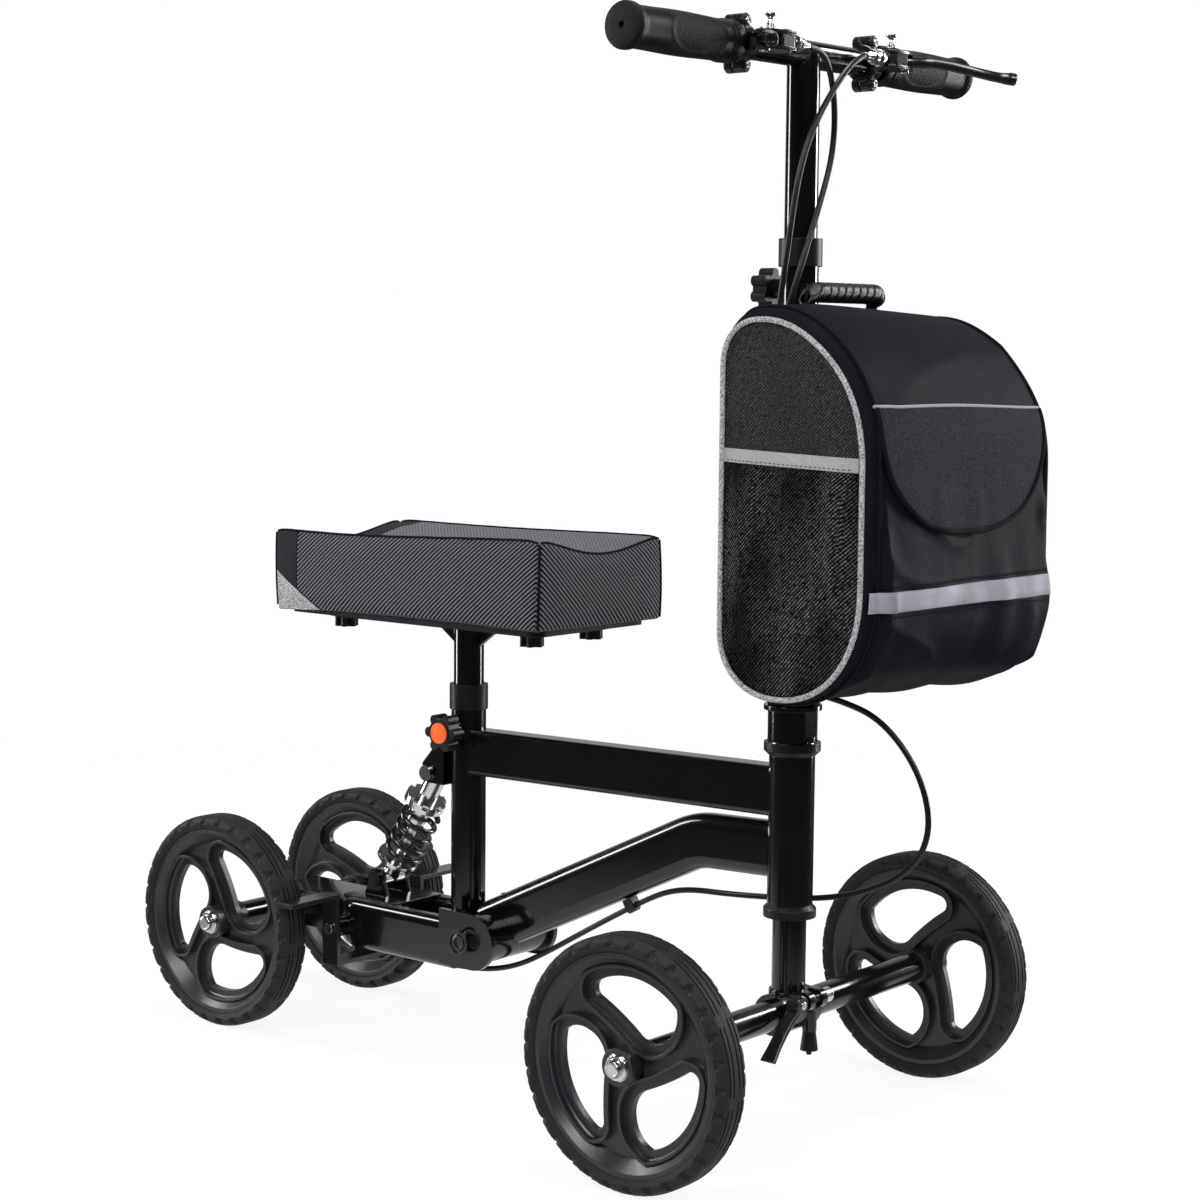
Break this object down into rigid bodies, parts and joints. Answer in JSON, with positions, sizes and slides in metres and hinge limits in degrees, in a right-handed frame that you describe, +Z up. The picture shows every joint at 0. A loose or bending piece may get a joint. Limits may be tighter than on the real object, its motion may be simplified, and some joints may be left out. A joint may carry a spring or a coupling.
{
  "type": "knee scooter",
  "caption": "Steerable knee scooter with a padded rest, folding column, straight handlebar, sprung rear arm, tread brake, spoked wheels and a front bag.",
  "frame": {"origin": "centre of the bounding box in X and Y, on the floor that the wheels stand on", "axes": "+X forward, +Y to the rider's left, +Z up"},
  "size_m": [0.8524, 0.4628, 0.905],
  "materials": {
    "frame_paint": "high gloss black powder coat",
    "black_plastic": "fine grained moulding",
    "bright_steel": "bright plated",
    "black_alloy": "satin black",
    "black_steel": "semi-gloss black",
    "grip_rubber": "matt",
    "cable_sheath": "smooth",
    "board": "plain",
    "pad_cover": "black woven and coated cloth",
    "bag_cloth": "black nylon with mesh and grey trim",
    "rim_plastic": "fine grained moulding",
    "tyre_rubber": "matt"
  },
  "bodies": {
    "frame": {"head_tube": "frame_paint", "top_tube": "frame_paint", "lower_tube": "frame_paint", "seat_tube": "frame_paint", "pivot_barrel": "frame_paint", "shock_upper_bracket": "frame_paint", "shock_upper_bolt": "bright_steel", "headset_cups": "black_plastic", "frame_bearings": "bright_steel", "seat_collar": "black_plastic", "cable_clip": "black_plastic", "rear_brake_cable": "cable_sheath"},
    "steering": {"steerer_tube": "frame_paint", "fold_base": "frame_paint", "axle_clamp": "frame_paint", "front_axle_tube": "frame_paint", "steering_bolts": "bright_steel", "front_wheel_bearings": "bright_steel"},
    "axle_lever": {"axle_lever": "black_plastic"},
    "axle_plunger": {"axle_plunger": "black_plastic"},
    "column": {"fold_head": "frame_paint", "column_tube": "frame_paint", "height_collar": "black_plastic", "bag": "bag_cloth", "bag_handle": "black_plastic"},
    "fold_lever": {"fold_lever": "black_plastic"},
    "column_knob": {"column_knob": "black_plastic"},
    "handlebar": {"handlebar_post": "frame_paint", "handlebar": "frame_paint", "grips": "grip_rubber", "lever_clamps": "black_alloy", "lever_cables": "cable_sheath"},
    "brake_lever_left": {"brake_lever_left": "black_alloy"},
    "brake_lever_right": {"brake_lever_right": "black_alloy"},
    "park_pin_left": {"park_pin_left": "bright_steel"},
    "park_pin_right": {"park_pin_right": "bright_steel"},
    "seat": {"seat_post": "frame_paint", "pad_board": "board", "knee_cushion": "pad_cover"},
    "pad_knob_1": {"pad_knob_1": "black_plastic"},
    "pad_knob_2": {"pad_knob_2": "black_plastic"},
    "pad_knob_3": {"pad_knob_3": "black_plastic"},
    "pad_knob_4": {"pad_knob_4": "black_plastic"},
    "seat_knob": {"seat_knob": "black_plastic"},
    "rear_arm": {"swing_arm": "frame_paint", "rear_axle_tube": "frame_paint", "swing_arm_bolts": "bright_steel", "rear_wheel_bearings": "bright_steel"},
    "brake_yoke": {"brake_yoke": "black_steel"},
    "shock_body": {"shock_body": "bright_steel", "shock_spring": "black_steel"},
    "shock_rod": {"shock_rod": "bright_steel"},
    "front_right_wheel": {"front_right_rim": "rim_plastic", "front_right_tyre": "tyre_rubber"},
    "front_left_wheel": {"front_left_rim": "rim_plastic", "front_left_tyre": "tyre_rubber"},
    "rear_right_wheel": {"rear_right_rim": "rim_plastic", "rear_right_tyre": "tyre_rubber"},
    "rear_left_wheel": {"rear_left_rim": "rim_plastic", "rear_left_tyre": "tyre_rubber"}
  },
  "joints": [
    {"name": "steering_turn", "type": "hinge", "parent": "frame", "child": "steering", "pos_m": [0.2688, 0, 0.32], "axis": [0, 0, 1], "range_deg": [-45, 45], "deforming": ["rear_brake_cable"]},
    {"name": "column_fold", "type": "hinge", "parent": "steering", "child": "column", "pos_m": [0.2688, 0, 0.368], "axis": [0, -1, 0], "range_deg": [0, 45]},
    {"name": "fold_lever_turn", "type": "hinge", "parent": "column", "child": "fold_lever", "pos_m": [0.2688, 0.0343, 0.368], "axis": [-1, 0, 0], "range_deg": [0, 90]},
    {"name": "column_knob_turn", "type": "hinge", "parent": "column", "child": "column_knob", "pos_m": [0.2348, 0, 0.697], "axis": [-1, 0, 0], "range_deg": [0, 720]},
    {"name": "bar_height", "type": "slide", "parent": "column", "child": "handlebar", "axis": [0, 0, 1], "range_m": [-0.08, 0.12], "deforming": ["lever_cables"]},
    {"name": "brake_lever_left_pull", "type": "hinge", "parent": "handlebar", "child": "brake_lever_left", "pos_m": [0.3008, 0.097, 0.8835], "axis": [0, 0, 1], "range_deg": [0, 25], "stiffness_Nm_per_rad": 0.3, "springref_deg": -17.19},
    {"name": "brake_lever_right_pull", "type": "hinge", "parent": "handlebar", "child": "brake_lever_right", "pos_m": [0.3008, -0.097, 0.8835], "axis": [0, 0, -1], "range_deg": [0, 25], "stiffness_Nm_per_rad": 0.3, "springref_deg": -17.19},
    {"name": "park_pin_left_press", "type": "slide", "parent": "handlebar", "child": "park_pin_left", "axis": [0, 0, -1], "range_m": [0, 0.004], "stiffness_N_per_m": 300, "springref_m": -0.003},
    {"name": "park_pin_right_press", "type": "slide", "parent": "handlebar", "child": "park_pin_right", "axis": [0, 0, -1], "range_m": [0, 0.004], "stiffness_N_per_m": 300, "springref_m": -0.003},
    {"name": "seat_height", "type": "slide", "parent": "frame", "child": "seat", "axis": [0, 0, 1], "range_m": [-0.018, 0.065]},
    {"name": "seat_knob_turn", "type": "hinge", "parent": "frame", "child": "seat_knob", "pos_m": [-0.0942, -0.03, 0.299], "axis": [0, -1, 0], "range_deg": [0, 720]},
    {"name": "pad_knob_1_turn", "type": "hinge", "parent": "seat", "child": "pad_knob_1", "pos_m": [-0.2122, -0.04, 0.392], "axis": [0, 0, -1], "range_deg": [0, 720]},
    {"name": "pad_knob_2_turn", "type": "hinge", "parent": "seat", "child": "pad_knob_2", "pos_m": [-0.2122, 0.04, 0.392], "axis": [0, 0, -1], "range_deg": [0, 720]},
    {"name": "pad_knob_3_turn", "type": "hinge", "parent": "seat", "child": "pad_knob_3", "pos_m": [0.0178, -0.04, 0.392], "axis": [0, 0, -1], "range_deg": [0, 720]},
    {"name": "pad_knob_4_turn", "type": "hinge", "parent": "seat", "child": "pad_knob_4", "pos_m": [0.0178, 0.04, 0.392], "axis": [0, 0, -1], "range_deg": [0, 720]},
    {"name": "rear_arm_pivot", "type": "hinge", "parent": "frame", "child": "rear_arm", "pos_m": [-0.0492, 0, 0.114], "axis": [0, 1, 0], "range_deg": [0, 7], "stiffness_Nm_per_rad": 800, "springref_deg": -1.43},
    {"name": "brake_yoke_pivot", "type": "hinge", "parent": "rear_arm", "child": "brake_yoke", "pos_m": [-0.2172, 0, 0.103], "axis": [0, -1, 0], "range_deg": [0, 2.8]},
    {"name": "shock_swivel", "type": "hinge", "parent": "frame", "child": "shock_body", "pos_m": [-0.1302, 0, 0.256], "axis": [0, 1, 0], "range_deg": [0, 2.6]},
    {"name": "shock_slide", "type": "slide", "parent": "shock_body", "child": "shock_rod", "axis": [0.5208, 0, 0.8537], "range_m": [0, 0.018], "deforming": ["shock_spring"]},
    {"name": "front_right_spin", "type": "hinge", "parent": "steering", "child": "front_right_wheel", "pos_m": [0.2688, -0.206, 0.101], "axis": [0, 1, 0], "continuous": true},
    {"name": "front_left_spin", "type": "hinge", "parent": "steering", "child": "front_left_wheel", "pos_m": [0.2688, 0.206, 0.101], "axis": [0, 1, 0], "continuous": true},
    {"name": "rear_right_spin", "type": "hinge", "parent": "rear_arm", "child": "rear_right_wheel", "pos_m": [-0.3252, -0.0935, 0.101], "axis": [0, 1, 0], "continuous": true},
    {"name": "rear_left_spin", "type": "hinge", "parent": "rear_arm", "child": "rear_left_wheel", "pos_m": [-0.3252, 0.0935, 0.101], "axis": [0, 1, 0], "continuous": true},
    {"name": "axle_lever_turn", "type": "hinge", "parent": "steering", "child": "axle_lever", "pos_m": [0.2928, -0.0213, 0.114], "axis": [-1, 0, 0], "range_deg": [0, 90]},
    {"name": "axle_plunger_pull", "type": "slide", "parent": "steering", "child": "axle_plunger", "axis": [0, 0, -1], "range_m": [0, 0.006], "stiffness_N_per_m": 400, "springref_m": -0.004}
  ],
  "couplings": [
    {"joint": "shock_swivel", "follows": "rear_arm_pivot", "ratio": 0.362},
    {"joint": "shock_slide", "follows": "rear_arm_pivot", "m_per_rad": 0.1448},
    {"joint": "brake_yoke_pivot", "follows": "brake_lever_right_pull", "ratio": 0.112}
  ]
}
